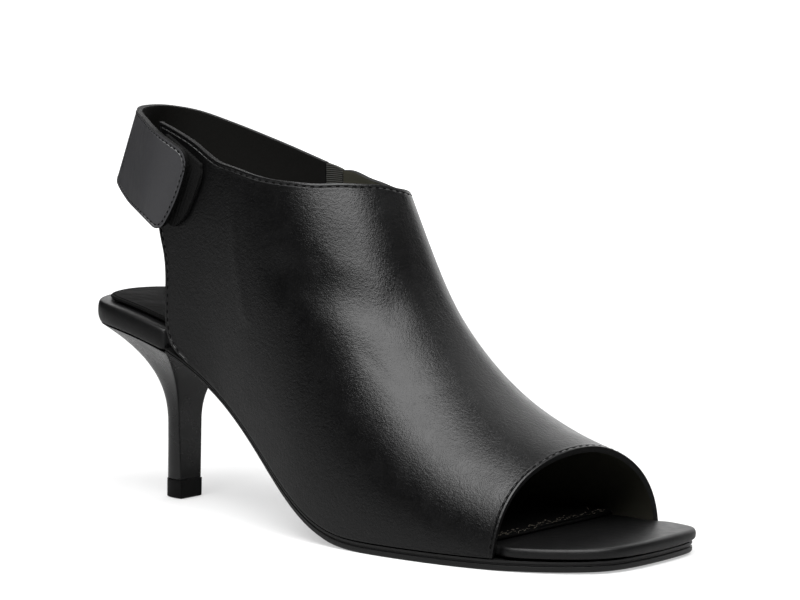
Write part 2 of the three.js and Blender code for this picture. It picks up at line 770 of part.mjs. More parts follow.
const object = new THREE.Group();
object.add(mesh("upper", upperGeometry(), material("#161617", 0.45)));
object.add(mesh("outsole", outsoleGeometry(), material("#0e0e0f", 0.5)));
object.add(mesh("footbed", footbedGeometry(), material("#141415", 0.4)));
object.add(mesh("sock", sockGeometry(), material("#101011", 0.6)));
object.add(mesh("heel", heelGeometry(), material("#1a1a1b", 0.3)));
object.add(mesh("top_lift", topLiftGeometry(), material("#0b0b0c", 0.7)));
object.add(
  mesh(
    "strap",
    ribbonGeometry({ from: 0, to: 1 }, 0, { outer: 0, inner: strapThickness }),
    material("#171718", 0.45),
  ),
);
object.add(mesh("hook_patch", ribbonGeometry(hookRange, hookMargin, hookDepths), material("#0c0c0c", 0.9)));
const loopGeometry = patchGeometry(loopCorners, loopOffsets, 10, 8, patchBow);
object.add(mesh("loop_patch", loopGeometry, material("#0d0d0d", 0.95)));
object.add(mesh("elastic_gore", patchGeometry(goreCorners, goreOffsets, 3, 8), material("#0f0f10", 0.8)));

// The origin lies on the floor at the middle of the shoe's box.
const box = new THREE.Box3().setFromObject(object);
const middle = box.getCenter(new THREE.Vector3());
object.children.forEach((child) => child.geometry.translate(-middle.x, -middle.y, -box.min.z));

export default object;
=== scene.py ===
"""Looks of a black open-toe slingback sandal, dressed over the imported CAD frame. Lengths are in metres."""
import json
import math
import random

import bmesh
import bpy
from mathutils import Matrix, Vector
from mathutils.bvhtree import BVHTree
from mathutils.kdtree import KDTree

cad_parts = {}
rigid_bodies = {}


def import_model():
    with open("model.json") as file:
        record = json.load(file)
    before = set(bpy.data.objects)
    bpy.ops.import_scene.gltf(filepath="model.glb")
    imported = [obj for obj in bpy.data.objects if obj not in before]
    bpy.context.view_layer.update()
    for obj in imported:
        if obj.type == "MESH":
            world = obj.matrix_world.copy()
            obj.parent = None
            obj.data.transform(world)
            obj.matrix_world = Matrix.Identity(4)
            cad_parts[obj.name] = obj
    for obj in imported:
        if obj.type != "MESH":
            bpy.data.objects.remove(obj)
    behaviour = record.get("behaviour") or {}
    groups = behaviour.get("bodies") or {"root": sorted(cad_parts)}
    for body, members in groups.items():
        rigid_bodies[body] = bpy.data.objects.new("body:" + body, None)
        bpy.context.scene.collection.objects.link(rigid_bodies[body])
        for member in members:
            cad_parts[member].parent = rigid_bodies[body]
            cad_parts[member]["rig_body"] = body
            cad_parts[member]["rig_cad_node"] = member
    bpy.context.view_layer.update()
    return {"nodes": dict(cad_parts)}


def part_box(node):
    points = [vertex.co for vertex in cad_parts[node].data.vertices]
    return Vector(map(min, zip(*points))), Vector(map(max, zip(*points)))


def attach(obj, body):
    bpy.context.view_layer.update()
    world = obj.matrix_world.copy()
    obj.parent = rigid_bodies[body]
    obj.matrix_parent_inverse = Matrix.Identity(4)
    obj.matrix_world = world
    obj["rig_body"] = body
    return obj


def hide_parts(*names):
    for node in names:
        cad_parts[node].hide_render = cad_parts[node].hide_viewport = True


bl_info = {
    "name": "Slingback sandal",
    "version": (1, 0, 0),
    "blender": (4, 5, 0),
    "location": "3D View > Sidebar > Sandal",
    "description": "Dresses the sandal's frame in leather, lining, tape, thread and sole materials",
    "category": "Object",
}

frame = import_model()
MM = 0.001

# The photograph's view: the camera's direction, distance and lens, the point that it looks at, and how far
# that point is moved to the right and up.
CAMERA_AZIMUTH = math.radians(39.58)
CAMERA_ELEVATION = math.radians(6.49)
CAMERA_DISTANCE = 1050.3 * MM
CAMERA_LENS = 141.3
CAMERA_AIM = Vector((-1.0, 0.9, 75.0)) * MM
CAMERA_PAN = Vector((11.35, 1.23)) * MM
SENSOR_WIDTH = 36

# The glow of the dark room, and the lit backdrop: its glow, size, direction, distance and height.
ROOM_GLOW = 0.012
WALL_GLOW = 1.02
WALL_SIZE = 3.0
WALL_AZIMUTH = math.radians(17)
WALL_DISTANCE = 1.8
WALL_HEIGHT = 1.6

# The paper's size, its glow near the shoe and far from it, and the distances between which that changes.
FLOOR_SIZE = 12
FLOOR_GLOW = 0.47
FAR_GLOW = 1.05
GLOW_START = 0.35
GLOW_END = 1.2

# Each light: name, azimuth and elevation in degrees, distance, width and height in metres, and radiance.
# All of them point at a place in the middle of the shoe.
LIGHTS = (
    ("key_softbox", 42, 57, 1.2, (1.5, 1.1), 8.5),
    ("left_softbox", -30, 50, 1.3, (0.8, 0.8), 1.2),
    ("ceiling", 30, 90, 1.3, (3.2, 3.2), 0.4),
)
LIGHTS_AIM = Vector((0, 0, 60)) * MM

# Radius of a folded leather edge.
EDGE_RADIUS = 0.4 * MM

# How far the front edges of the tab and its tapes lean back from upright, and the pitch of the tapes'
# ribs.
TAPE_LEAN = math.radians(22)
TAPE_RIB = 1.3 * MM

# Pitch of the ribs of the elastic, width of the tapes' pile, and depth of ribs and pile.
ELASTIC_RIB = 0.6912 * MM
PILE_WIDTH = 0.7 * MM
WEAVE_DEPTH = 0.25 * MM

# The sole's edge: width and depth of the marks that buffing left.
BUFF_WIDTH = 1.2 * MM
BUFF_DEPTH = 0.02 * MM

# How far from a folded edge the seam relief is stored, half the width of its groove, and the share of the
# relief's height by which the groove's far lip stands up.
SEAM_REACH = 6 * MM
GROOVE_HALF = 0.5 * MM
GROOVE_LIP = 0.12

# Angles past which an edge is a sharp one: on a wall or a tape, on a padded layer, and on the sole's parts.
WALL_ANGLE = math.radians(50)
LAYER_ANGLE = math.radians(55)
SOLE_ANGLE = math.radians(40)

# How sharp a padded layer's edges stay when it is made smooth, from 0 to 1.
LAYER_CREASE = 0.6

# Height of the heel's foot that is drawn down on to its tip.
HEEL_FOOT = 3 * MM

# Where the seat ends and the shank begins, along the shoe.
SEAT_END = -55 * MM

# The seam across the back of the strap: two points on it in millimetres, and its stitch pitch.
BACK_SEAM = ((-92.5, -16.7, 129.5), (-95.8, -19.4, 115.5))
BACK_PITCH = 1.6 * MM

# Loose fibres at the sock's front edge: their number, the seed that places them, the shares of the edge at
# which they start and how far they go, the least and the greatest length and thickness, the mean and the
# spread of their lift, and how far they turn and tip.
FRAY_COUNT = 100
FRAY_SEED = 7
FRAY_START = 0.06
FRAY_SPAN = 0.88
FRAY_LENGTH = (0.5, 1.8)
FRAY_THICKNESS = (0.1, 0.28)
FRAY_LIFT = (0.2, 0.7)
FRAY_TURN = 0.35
FRAY_TIP = 0.3

# Leather's grain: the share of a cell's width that its valleys take up, how much wider its soft ripple is
# than its cells, and the depths of the cells and of the ripple as shares of a leather's own depth.
VALLEY_SHARE = 0.3
RIPPLE_SPREAD = 1.7
CELL_SHARE = 0.55
RIPPLE_SHARE = 2.2

# How far the folds of a leather lower and raise its roughness.
GLOSSIER = 0.03
DULLER = 0.04

# A stitch: the share of its pitch that the thread covers, how flat the thread is pressed, and the share of
# its width that is sunk in the leather.
STITCH_SHARE = 0.58
STITCH_FLATNESS = 0.75
STITCH_SINK = 0.15

# Soft forms pressed into the lasted leather: points along each in millimetres, its reach to either side
# and its depth. A negative depth is a ridge.
CREASES = (
    ("instep saddle", ((-10, -30.6, 88), (4.3, -29, 82.5), (15, -24.5, 78.6), (23, -17, 76)), 6.5, 0.75),
    ("saddle tail", ((2, -29, 91), (9, -26, 86), (16, -20, 84)), 3.5, 0.2),
    (
        "counter edge",
        ((-36, -28.7, 116), (-33.4, -29.5, 101.5), (-31.2, -30.1, 87.3), (-27, -31, 72)),
        2.4,
        -0.16,
    ),
    ("ball crease", ((21.7, -27.8, 64), (27.7, -26.8, 58.5), (35.2, -25.8, 52.6)), 1.7, 0.16),
    ("ball wrinkle", ((37.3, -21.3, 55.5), (41.5, -10.1, 58.6)), 1.6, 0.1),
    ("lower wrinkle", ((37.9, -27.1, 48.4), (43.9, -19.2, 51.3), (47, -12, 53)), 1.6, 0.1),
    ("toe wrinkle", ((67.6, -17.1, 37.2), (74.3, -15.4, 35.1)), 1.4, 0.1),
    ("side wrinkle", ((66.3, -27.7, 29.5), (76.1, -25, 27.6)), 1.8, 0.1),
    ("throat ridge", ((-4, -20, 106), (8, -14, 103), (16, -6, 99)), 7, -0.3),
)

# Places on the border of the upper's outer face, in millimetres. The two at the toe lie on its lowest line,
# and "wing top" is the border's highest place.
LANDMARKS = {
    "gore top": (-31, 25, 119),
    "gore middle": (-40, 26, 75),
    "gore foot": (-60.3, 25, 55),
    "throat": (12, 4, 114),
    "toe top": (90, 3, 36),
    "outer toe": (80, -36, 0),
    "inner toe": (93, 37, 0),
    "wing middle": (-66, -29, 85),
    "wing foot": (-59.4, -27, 52),
}

# The seams of the upper: the landmarks at which each starts and ends, and the one that it passes.
SEAMS = {
    "collar": ("wing top", "gore top", "throat"),
    "mouth": ("outer toe", "inner toe", "toe top"),
    "outer_rear": ("wing top", "wing foot", "wing middle"),
    "inner_rear": ("gore top", "gore foot", "gore middle"),
}


def linear(code):
    """An sRGB hex code as a linear colour with full alpha."""
    parts = [int(code[i : i + 2], 16) / 255 for i in (1, 3, 5)]
    return (*[c / 12.92 if c <= 0.04045 else ((c + 0.055) / 1.055) ** 2.4 for c in parts], 1.0)


class SandalSizes(bpy.types.PropertyGroup):
    """Sizes of the stitching, folds and grain."""

    stitch_pitch: bpy.props.FloatProperty(
        name="Stitch pitch", description="From one stitch to the next", default=2.8 * MM, unit="LENGTH"
    )
    strap_pitch: bpy.props.FloatProperty(
        name="Strap pitch", description="The same on the strap and its tab", default=2.0 * MM, unit="LENGTH"
    )
    thread_width: bpy.props.FloatProperty(
        name="Thread width", description="Thickness of the thread", default=0.6 * MM, unit="LENGTH"
    )
    seam_margin: bpy.props.FloatProperty(
        name="Seam margin", description="From a folded edge to its stitches", default=1.4 * MM, unit="LENGTH"
    )
    fold_rise: bpy.props.FloatProperty(
        name="Fold rise", description="How far the folded edge stands up", default=0.12 * MM, unit="LENGTH"
    )
    groove_depth: bpy.props.FloatProperty(
        name="Groove depth", description="How deep the stitches pull in", default=0.25 * MM, unit="LENGTH"
    )
    grain: bpy.props.FloatProperty(
        # Calf grain is finer than the picture can show, so it is drawn coarser.
        name="Grain", description="Width of the leather's grain cells", default=0.6 * MM, unit="LENGTH"
    )


class SandalColours(bpy.types.PropertyGroup):
    """Colours of the leathers and linings."""

    leather: bpy.props.FloatVectorProperty(
        name="Leather", description="Dyed leather", default=(0.0012, 0.0012, 0.0013), subtype="COLOR"
    )
    # The lining's colour: its own brown, raised lighter than that as painted fill light in the shaded inside
    # of the toe.
    lining: bpy.props.FloatVectorProperty(
        name="Lining", description="Lining leather", default=(0.03, 0.029, 0.022), subtype="COLOR"
    )
    strap_lining: bpy.props.FloatVectorProperty(
        name="Strap lining", description="Lining of the strap", default=(0.0016, 0.0015, 0.0011),
        subtype="COLOR",
    )


def sizes():
    """The scene's sizes."""
    return bpy.context.scene.sandal_sizes


def dye(name):
    """One of the scene's colours with full alpha."""
    return (*getattr(bpy.context.scene.sandal_colours, name), 1)


# Selection and mesh helpers.


def only(obj):
    """Selects one object and makes it active."""
    bpy.ops.object.select_all(action="DESELECT")
    obj.select_set(True)
    bpy.context.view_layer.objects.active = obj


def apply_modifier(obj, kind, **settings):
    """Adds a modifier and applies it."""
    only(obj)
    modifier = obj.modifiers.new(kind, kind)
    for key, value in settings.items():
        setattr(modifier, key, value)
    bpy.ops.object.modifier_apply(modifier=modifier.name)


def copy_of(node, name):
    """A merged copy of a CAD node with its triangles joined to quads."""
    only(frame["nodes"][node])
    bpy.ops.object.duplicate()
    obj = bpy.context.view_layer.objects.active
    obj.name = name
    obj.data.name = name
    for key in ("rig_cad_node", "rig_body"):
        if key in obj:
            del obj[key]
    obj.parent = None
    obj.data.materials.clear()
    bpy.ops.mesh.customdata_custom_splitnormals_clear()
    bpy.ops.object.mode_set(mode="EDIT")
    bpy.ops.mesh.select_all(action="SELECT")
    bpy.ops.mesh.remove_doubles(threshold=0.01 * MM)
    bpy.ops.mesh.tris_convert_to_quads(
        face_threshold=math.radians(45), shape_threshold=math.radians(70), topology_influence=1.5
    )
    bpy.ops.mesh.select_all(action="DESELECT")
    bpy.ops.object.mode_set(mode="OBJECT")
    return obj


def face_regions(mesh, angle):
    """Sets of face numbers with no edge sharper than an angle between them, the largest first."""
    bm = bmesh.new()
    bm.from_mesh(mesh)
    bm.faces.ensure_lookup_table()
    left = set(range(len(bm.faces)))
    regions = []
    while left:
        seed = left.pop()
        region, queue = {seed}, [bm.faces[seed]]
        while queue:
            for edge in queue.pop().edges:
                if len(edge.link_faces) != 2 or edge.calc_face_angle(math.pi) > angle:
                    continue
                for other in edge.link_faces:
                    if other.index in left:
                        left.discard(other.index)
                        region.add(other.index)
                        queue.append(other)
        regions.append(region)
    areas = [face.calc_area() for face in bm.faces]
    bm.free()
    return sorted(regions, key=lambda region: -sum(areas[i] for i in region))


def border_loop(mesh, region):
    """The longest chain of points round a set of faces, as a closed list."""
    count = {}
    for i in region:
        for key in mesh.polygons[i].edge_keys:
            count[key] = count.get(key, 0) + 1
    links = {}
    for (a, b), times in count.items():
        if times == 1:
            links.setdefault(a, []).append(b)
            links.setdefault(b, []).append(a)
    loops = []
    while links:
        start = next(iter(links))
        loop, here = [start], start
        while True:
            onward = [v for v in links.get(here, []) if v in links]
            step = next((v for v in onward if v != loop[-2 if len(loop) > 1 else 0]), None)
            links.pop(here, None)
            if step is None or step == start:
                break
            loop.append(step)
            here = step
        loops.append(loop)
    return [mesh.vertices[i].co.copy() for i in max(loops, key=len)]


def nearest_index(points, place):
    """The number of the point that lies nearest to a place."""
    return min(range(len(points)), key=lambda i: (points[i] - place).length)


def along_loop(loop, start, end, via):
    """The part of a closed loop from the point near start to the point near end that passes via."""
    a, b, v = (nearest_index(loop, p) for p in (start, end, via))
    count = len(loop)
    forward = [loop[(a + i) % count] for i in range((b - a) % count + 1)]
    backward = [loop[(a - i) % count] for i in range((a - b) % count + 1)]
    return forward if (v - a) % count <= (b - a) % count else backward


def resampled(points, step):
    """Points along a smooth curve through the given ones, one step apart."""
    fine = []
    for i in range(len(points) - 1):
        p0 = points[max(i - 1, 0)]
        p1, p2 = points[i], points[i + 1]
        p3 = points[min(i + 2, len(points) - 1)]
        for j in range(12):
            t = j / 12
            fine.append(
                0.5 * (2 * p1 + (p2 - p0) * t + (2 * p0 - 5 * p1 + 4 * p2 - p3) * t * t
                       + (3 * p1 - p0 - 3 * p2 + p3) * t ** 3)
            )
    fine.append(points[-1].copy())
    placed, gone, target = [fine[0]], 0.0, step
    for a, b in zip(fine, fine[1:]):
        reach = (b - a).length
        while gone + reach >= target and reach > 0:
            placed.append(a.lerp(b, (target - gone) / reach))
            target += step
        gone += reach
    return placed


def surface_of(obj, slot=None):
    """A search tree over an object's faces, or over those of one material slot."""
    mesh = obj.data
    faces = [p.vertices[:] for p in mesh.polygons if slot is None or p.material_index == slot]
    return BVHTree.FromPolygons([v.co for v in mesh.vertices], faces)


def moved_in(path, tree, centre, margin):
    """A path moved over a surface by a margin, towards the point that centre gives for each of its points."""
    moved = []
    for i, point in enumerate(path):
        ahead = path[min(i + 1, len(path) - 1)] - path[max(i - 1, 0)]
        _, normal, _, _ = tree.find_nearest(point)
        aside = normal.cross(ahead).normalized()
        if aside.dot(centre(point) - point) < 0:
            aside.negate()
        place, _, _, _ = tree.find_nearest(point + aside * margin)
        moved.append(place)
    return moved


def joined(copies, name, material):
    """Copies of one small form joined to one piece with one material."""
    only(copies[0])
    for copy in copies:
        copy.select_set(True)
    bpy.ops.object.join()
    piece = bpy.context.active_object
    piece.name = name
    piece.data.materials.clear()
    piece.data.materials.append(material)
    return piece


def stitch_row(name, path, tree, pitch, slot):
    """A row of stitches: one is modelled as a rounded bead and copied along the path."""
    width = sizes().thread_width
    length = pitch * STITCH_SHARE
    bpy.ops.object.select_all(action="DESELECT")
    bpy.ops.mesh.primitive_uv_sphere_add(segments=8, ring_count=6, radius=width / 2)
    first = bpy.context.active_object
    bpy.ops.object.mode_set(mode="EDIT")
    bpy.ops.mesh.select_all(action="SELECT")
    bpy.ops.transform.resize(value=(length / width, 1, STITCH_FLATNESS))
    bpy.ops.object.mode_set(mode="OBJECT")
    places = resampled(path, pitch)
    copies = []
    for a, b in zip(places, places[1:]):
        middle = (a + b) / 2
        spot, normal, _, _ = tree.find_nearest(middle)
        ahead = (b - a).normalized()
        side = normal.cross(ahead).normalized()
        up = ahead.cross(side).normalized()
        turn = Matrix((ahead, side, up)).transposed().to_4x4()
        copy = first.copy()
        copy.data = first.data.copy()
        copy.data.transform(Matrix.Translation(spot - up * width * STITCH_SINK) @ turn)
        bpy.context.collection.objects.link(copy)
        copies.append(copy)
    bpy.data.objects.remove(first)
    finish_piece(joined(copies, name, bonded_thread()), slot)


def finish_piece(obj, slot, replaced=()):
    """Smooth shading, the body it rides on, and the nodes it stands for, which it hides. Its slot is not
    used.
    """
    only(obj)
    bpy.ops.object.shade_smooth()
    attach(obj, "root")
    if replaced:
        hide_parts(*replaced)


def crease_sharp(obj, angle, value):
    """Creases the edges sharper than an angle."""
    bm = bmesh.new()
    bm.from_mesh(obj.data)
    layer = bm.edges.layers.float.get("crease_edge") or bm.edges.layers.float.new("crease_edge")
    for edge in bm.edges:
        if len(edge.link_faces) == 2 and edge.calc_face_angle(0) > angle:
            edge[layer] = value
    bm.to_mesh(obj.data)
    bm.free()


def pressed(obj):
    """Presses the creases into a wall: its outer face along its normals, its lining by the same way."""
    mesh = obj.data
    side = {}
    for polygon in mesh.polygons:
        for i in polygon.vertices:
            side.setdefault(i, set()).add(polygon.material_index)
    for _, points, reach, depth in CREASES:
        samples = resampled([Vector(p) * MM for p in points], 0.5 * MM)
        tree = KDTree(len(samples))
        for i, point in enumerate(samples):
            tree.insert(point, i)
        tree.balance()
        moves = {}
        for vertex in mesh.vertices:
            share = tree.find(vertex.co)[2] / (reach * MM)
            if share < 3 and len(side[vertex.index]) == 1:
                way = {0: -1, 1: 1}.get(min(side[vertex.index]), 0)
                moves[vertex.index] = vertex.normal * way * depth * MM * math.exp(-share * share)
        for i, move in moves.items():
            mesh.vertices[i].co += move


def mark_seam(obj, paths, slot):
    """Stores each vertex's distance from the seams' edges on one slot's faces, for the seam relief."""
    samples = [p for path in paths for p in resampled(path, 0.3 * MM)]
    tree = KDTree(len(samples))
    for i, point in enumerate(samples):
        tree.insert(point, i)
    tree.balance()
    mesh = obj.data
    others = {i for p in mesh.polygons if p.material_index != slot for i in p.vertices}
    layer = mesh.attributes.new("seam", "FLOAT", "POINT")
    for vertex in mesh.vertices:
        near = 0.0 if vertex.index in others else tree.find(vertex.co)[2]
        layer.data[vertex.index].value = min(near, SEAM_REACH)
    for vertex in mesh.vertices:
        if vertex.index in others and tree.find(vertex.co)[2] > 2 * MM:
            layer.data[vertex.index].value = SEAM_REACH


# Materials.


def node(tree, kind, at=(0, 0), links=(), values=None, **settings):
    """Adds a shader node, sets its properties and its sockets' values, and links its inputs."""
    made = tree.nodes.new("ShaderNode" + kind)
    made.location = at
    for key, value in settings.items():
        setattr(made, key, value)
    for name, value in (values or {}).items():
        made.inputs[name].default_value = value
    for name, source in links:
        tree.links.new(source, made.inputs[name])
    return made


def new_material(name, colour, values):
    """A Principled material with constant values set on the shader, and its node tree and its shader."""
    material = bpy.data.materials.new(name)
    material.use_nodes = True
    material.diffuse_color = colour
    bsdf = material.node_tree.nodes["Principled BSDF"]
    bsdf.inputs["Base Color"].default_value = colour
    for socket, value in values.items():
        bsdf.inputs[socket].default_value = value
    return material, material.node_tree, bsdf


def plain_material(name, colour, values):
    """A material that is the same all over."""
    return new_material(name, colour, values)[0]


def leather_material(
    name, colour, roughness, shine, grain, depth, fold_width, fold_depth=0.02 * MM, seams=False
):
    """Leather, tanned and dyed through: cells parted by shallow valleys, a soft ripple and broad folds."""
    material, tree, bsdf = new_material(name, colour, {"Specular IOR Level": shine})
    place = node(tree, "TexCoord", (-1300, 0)).outputs["Object"]
    cells = node(
        tree, "TexVoronoi", (-900, -100), [("Vector", place)], {"Scale": 1 / grain},
        feature="DISTANCE_TO_EDGE",
    )
    valley = node(
        tree, "MapRange", (-700, -100), [("Value", cells.outputs["Distance"])], {"From Max": VALLEY_SHARE},
        interpolation_type="SMOOTHSTEP",
    )
    ripple = node(
        tree, "TexNoise", (-700, -250), [("Vector", place)],
        {"Scale": 1 / (RIPPLE_SPREAD * grain), "Detail": 2},
    )
    folds = node(tree, "TexNoise", (-700, -400), [("Vector", place)], {"Scale": 1 / fold_width, "Detail": 2})
    cell_bump = node(
        tree, "Bump", (-500, -200), [("Height", valley.outputs["Result"])], {"Distance": depth * CELL_SHARE}
    )
    ripple_bump = node(
        tree, "Bump", (-300, -250),
        [("Height", ripple.outputs["Fac"]), ("Normal", cell_bump.outputs["Normal"])],
        {"Distance": depth * RIPPLE_SHARE},
    )
    last = node(
        tree, "Bump", (-100, -300),
        [("Height", folds.outputs["Fac"]), ("Normal", ripple_bump.outputs["Normal"])],
        {"Distance": fold_depth},
    )
    if seams:
        gap = node(tree, "Attribute", (-1100, -600), attribute_name="seam")
        share = node(
            tree, "Math", (-900, -600), [(0, gap.outputs["Fac"])], {1: SEAM_REACH}, operation="DIVIDE"
        )
        relief = node(tree, "ValToRGB", (-700, -600), [("Fac", share.outputs["Value"])])
        seam_profile(relief.color_ramp)
        last = node(
            tree, "Bump", (100, -400),
            [("Height", relief.outputs["Color"]), ("Normal", last.outputs["Normal"])],
            {"Distance": sizes().fold_rise + sizes().groove_depth},
        )
    tree.links.new(last.outputs["Normal"], bsdf.inputs["Normal"])
    sheen = node(
        tree, "MapRange", (-300, 150), [("Value", folds.outputs["Fac"])],
        {"From Min": 0.3, "From Max": 0.7, "To Min": roughness - GLOSSIER, "To Max": roughness + DULLER},
    )
    tree.links.new(sheen.outputs["Result"], bsdf.inputs["Roughness"])
    return material


def seam_profile(ramp):
    """Heights beside a folded edge: the raised fold, the groove under the thread, then the flat leather."""
    margin = sizes().seam_margin - EDGE_RADIUS
    flat = sizes().groove_depth / (sizes().fold_rise + sizes().groove_depth)
    stops = (
        (0, 1.0),
        (margin - GROOVE_HALF, 1.0),
        (margin, 0.0),
        (margin + GROOVE_HALF, flat + GROOVE_LIP),
        (margin + 3.5 * GROOVE_HALF, flat),
    )
    ramp.interpolation = "EASE"
    while len(ramp.elements) < len(stops):
        ramp.elements.new(0.5)
    for element, (place, height) in zip(ramp.elements, stops):
        element.position = place / SEAM_REACH
        element.color = (height, height, height, 1)


def kept(name, make, *colour, **settings):
    """A material by name, made the first time it is asked for."""
    return bpy.data.materials.get(name) or make(name, *colour, **settings)


def upper_leather():
    """Calf leather, plated under a hot smooth plate: a satin face on which the fine grain still shows."""
    return kept(
        "Plated calf leather", leather_material, dye("leather"), roughness=0.31, shine=0.28,
        grain=sizes().grain, depth=0.04 * MM, fold_width=6 * MM, seams=True,
    )


def strap_leather():
    """The strap's leather: a duller face, drawn greyer and lighter than the upper's, with the same stitched
    edge.
    """
    return kept(
        "Stretch-backed leather", leather_material, linear("#2b2b2d"), roughness=0.48, shine=0.5,
        grain=sizes().grain, depth=0.015 * MM, fold_width=9 * MM, fold_depth=0.5 * MM, seams=True,
    )


def folded_leather():
    """Calf leather stretched over a folded edge, where its grain is pulled flat."""
    return kept(
        "Folded calf leather", leather_material, dye("leather"), roughness=0.4, shine=0.28,
        grain=sizes().grain, depth=0.01 * MM, fold_width=4 * MM,
    )


def lining_with_painted_fill():
    """Split leather, buffed and left without a finish: dull, brownish and lighter than the face. Its colour
    is lighter than its own brown: painted fill light in the shaded inside of the toe.
    """
    return kept(
        "Split leather lining", leather_material, dye("lining"), roughness=0.9, shine=0.04,
        grain=0.6 * MM, depth=0.03 * MM, fold_width=3 * MM,
    )


def strap_lining():
    """The strap's thin lining, pressed smooth and darker than the upper's lining, which carries painted fill
    light.
    """
    return kept(
        "Strap lining", leather_material, dye("strap_lining"), roughness=0.7, shine=0.12,
        grain=0.6 * MM, depth=0.02 * MM, fold_width=3 * MM,
    )


def edge_leather():
    """The cut edge of leather and lining, stained black and burnished: dull and very dark."""
    return kept(
        "Stained cut edge", leather_material, linear("#050505"), roughness=0.6, shine=0.1,
        grain=0.5 * MM, depth=0.03 * MM, fold_width=2 * MM,
    )


def bed_leather():
    """The leather wrapped over the footbed: thinner, brushed and less plated than the upper's."""
    return kept(
        "Wrapping leather", leather_material, dye("leather"), roughness=0.44, shine=0.26,
        grain=sizes().grain, depth=0.015 * MM, fold_width=3 * MM,
    )


def bed_wall_leather():
    """The same leather on the footbed's wall, with a ridge and a groove under the sock."""
    return kept(
        "Footbed wall leather", leather_material, dye("leather"), roughness=0.4, shine=0.26,
        grain=sizes().grain, depth=0.015 * MM, fold_width=9 * MM, seams=True,
    )


def sock_leather():
    """Sheep lining of the sock, left unplated and padded: dull, dark and softly rippled."""
    return kept(
        "Sock leather", leather_material, linear("#070707"), roughness=0.75, shine=0.04,
        grain=0.6 * MM, depth=0.03 * MM, fold_width=12 * MM, fold_depth=0.9 * MM, seams=True,
    )


def heel_leather():
    """Thin leather pulled tight round the heel block and polished: nearly no grain is left."""
    return kept(
        "Heel wrap", leather_material, dye("leather"), roughness=0.28, shine=0.3,
        grain=0.5 * MM, depth=0.006 * MM, fold_width=6 * MM,
    )


def bonded_thread():
    """Bonded polyester thread, twisted, dyed black and sunk in its holes: dull and very dark."""
    return kept("Bonded thread", plain_material, linear("#030303"), values={
        "Roughness": 0.8, "Specular IOR Level": 0.08,
    })


def nylon_tape():
    """Woven nylon hook-and-loop tape: a dull pile over ribs that follow its front edge."""

    def make(name):
        material, tree, bsdf = new_material(
            name, linear("#080808"), {"Roughness": 0.9, "Specular IOR Level": 0.12}
        )
        place = node(tree, "TexCoord", (-1100, 0)).outputs["Object"]
        pile = node(
            tree, "TexNoise", (-600, 200), [("Vector", place)], {"Scale": 1 / PILE_WIDTH, "Detail": 4}
        )
        leant = node(tree, "Mapping", (-900, -200), [("Vector", place)], {"Rotation": (0, -TAPE_LEAN, 0)})
        ribs = node(
            tree, "TexWave", (-600, -200), [("Vector", leant.outputs["Vector"])],
            {"Scale": wave_scale(TAPE_RIB)}, bands_direction="X",
        )
        pile_bump = node(
            tree, "Bump", (-300, 200), [("Height", pile.outputs["Fac"])], {"Distance": WEAVE_DEPTH}
        )
        bump = node(
            tree, "Bump", (-100, 0),
            [("Height", ribs.outputs["Fac"]), ("Normal", pile_bump.outputs["Normal"])],
            {"Distance": WEAVE_DEPTH},
        )
        tree.links.new(bump.outputs["Normal"], bsdf.inputs["Normal"])
        return material

    return kept("Nylon tape", make)


def elastic_webbing():
    """Woven elastic webbing: dull cotton-covered rubber with fine ribs along the strap."""

    def make(name):
        material, tree, bsdf = new_material(name, linear("#15150f"), {"Roughness": 0.8})
        place = node(tree, "TexCoord", (-900, 0)).outputs["Object"]
        ribs = node(
            tree, "TexWave", (-600, 0), [("Vector", place)],
            {"Scale": wave_scale(ELASTIC_RIB)}, bands_direction="Z",
        )
        bump = node(tree, "Bump", (-300, 0), [("Height", ribs.outputs["Fac"])], {"Distance": WEAVE_DEPTH})
        tree.links.new(bump.outputs["Normal"], bsdf.inputs["Normal"])
        return material

    return kept("Elastic webbing", make)


def wave_scale(pitch):
    """The scale at which a wave texture's bands are one pitch apart."""
    return math.pi / (10 * pitch)


def sole_rubber():
    """Thermoplastic rubber, moulded and buffed at the edge: satin black."""

    def make(name):
        material, tree, bsdf = new_material(
            name, linear("#090909"), {"Roughness": 0.4, "Specular IOR Level": 0.3}
        )
        place = node(tree, "TexCoord", (-900, 0)).outputs["Object"]
        buff = node(tree, "TexNoise", (-600, 0), [("Vector", place)], {"Scale": 1 / BUFF_WIDTH})
        bump = node(tree, "Bump", (-300, 0), [("Height", buff.outputs["Fac"])], {"Distance": BUFF_DEPTH})
        tree.links.new(bump.outputs["Normal"], bsdf.inputs["Normal"])
        return material

    return kept("Moulded rubber", make)


def tip_rubber():
    """Hard rubber, moulded and ground flat: matt black."""
    return kept("Ground hard rubber", plain_material, linear("#050505"), values={
        "Roughness": 0.5, "Specular IOR Level": 0.12,
    })


def torn_fibre():
    """Fibres torn from the sock's lining: dull and a little paler than the leather."""
    return kept("Torn fibre", plain_material, linear("#4a463f"), values={
        "Roughness": 0.9, "Specular IOR Level": 0.1,
    })


# Pieces.


def dressed_wall(node_name, piece_name, face_leather, lining):
    """A wall of leather over its CAD node, and its face's border. Slot 0 is the face, 1 the lining, 2 the
    folds and 3 the cut edges."""
    obj = copy_of(node_name, piece_name)
    outer, inner = face_regions(obj.data, WALL_ANGLE)[:2]
    for make in (face_leather, lining, folded_leather, edge_leather):
        obj.data.materials.append(make())
    for polygon in obj.data.polygons:
        polygon.material_index = 0 if polygon.index in outer else 1 if polygon.index in inner else 3
    crease_sharp(obj, WALL_ANGLE, 1.0)
    apply_modifier(obj, "SUBSURF", levels=2, render_levels=2)
    apply_modifier(
        obj, "BEVEL", limit_method="ANGLE", angle_limit=WALL_ANGLE, width=EDGE_RADIUS, segments=3, material=2
    )
    faces = [p.index for p in obj.data.polygons if p.material_index == 0]
    return obj, border_loop(obj.data, faces)


